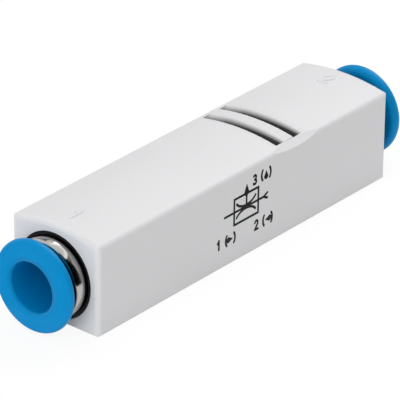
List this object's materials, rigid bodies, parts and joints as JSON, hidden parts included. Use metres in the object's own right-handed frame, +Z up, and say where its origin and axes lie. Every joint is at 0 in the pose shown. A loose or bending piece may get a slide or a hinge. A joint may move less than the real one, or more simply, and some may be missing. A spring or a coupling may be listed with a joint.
{
  "type": "in-line vacuum ejector",
  "caption": "In-line vacuum ejector: a square plastic housing with push-in tube connectors at both ends and exhaust slots across its crowned top.",
  "frame": {"origin": "bottom centre of the part's box, on the surface that the housing's base rests on", "axes": "+X along the flow from the supply port to the vacuum port, +Z up through the crowned top with the exhaust slots, -Y the printed side"},
  "size_m": [0.0658, 0.014, 0.0132],
  "materials": {
    "housing_plastic": "fine moulded, light grey",
    "blue_plastic": "smooth moulded, blue",
    "plated_sleeve": "nickel plated, polished",
    "black_rubber": "moulded rubber",
    "spring_steel": "stamped stainless steel",
    "natural_plastic": "moulded, natural white",
    "nozzle_brass": "turned brass",
    "porous_plastic": "sintered, porous"
  },
  "bodies": {
    "body": {"housing": "housing_plastic", "jet_nozzle": "nozzle_brass", "jet_nozzle_seal": "black_rubber", "receiver_nozzle": "nozzle_brass", "receiver_nozzle_seal": "black_rubber", "silencer_insert": "porous_plastic", "supply_sleeve": "plated_sleeve", "supply_mouth_seal": "black_rubber", "supply_claw_ring": "spring_steel", "supply_claw_carrier": "natural_plastic", "supply_seal_spacer": "natural_plastic", "supply_tube_seal": "black_rubber", "vacuum_sleeve": "plated_sleeve", "vacuum_mouth_seal": "black_rubber", "vacuum_claw_ring": "spring_steel", "vacuum_claw_carrier": "natural_plastic", "vacuum_seal_spacer": "natural_plastic", "vacuum_tube_seal": "black_rubber"},
    "supply_ring": {"supply_release_ring": "blue_plastic"},
    "vacuum_ring": {"vacuum_release_ring": "blue_plastic"}
  },
  "joints": [
    {"name": "supply_release", "type": "slide", "parent": "body", "child": "supply_ring", "axis": [1, 0, 0], "range_m": [0, 0.0006], "stiffness_N_per_m": 600},
    {"name": "vacuum_release", "type": "slide", "parent": "body", "child": "vacuum_ring", "axis": [-1, 0, 0], "range_m": [0, 0.0006], "stiffness_N_per_m": 600}
  ]
}
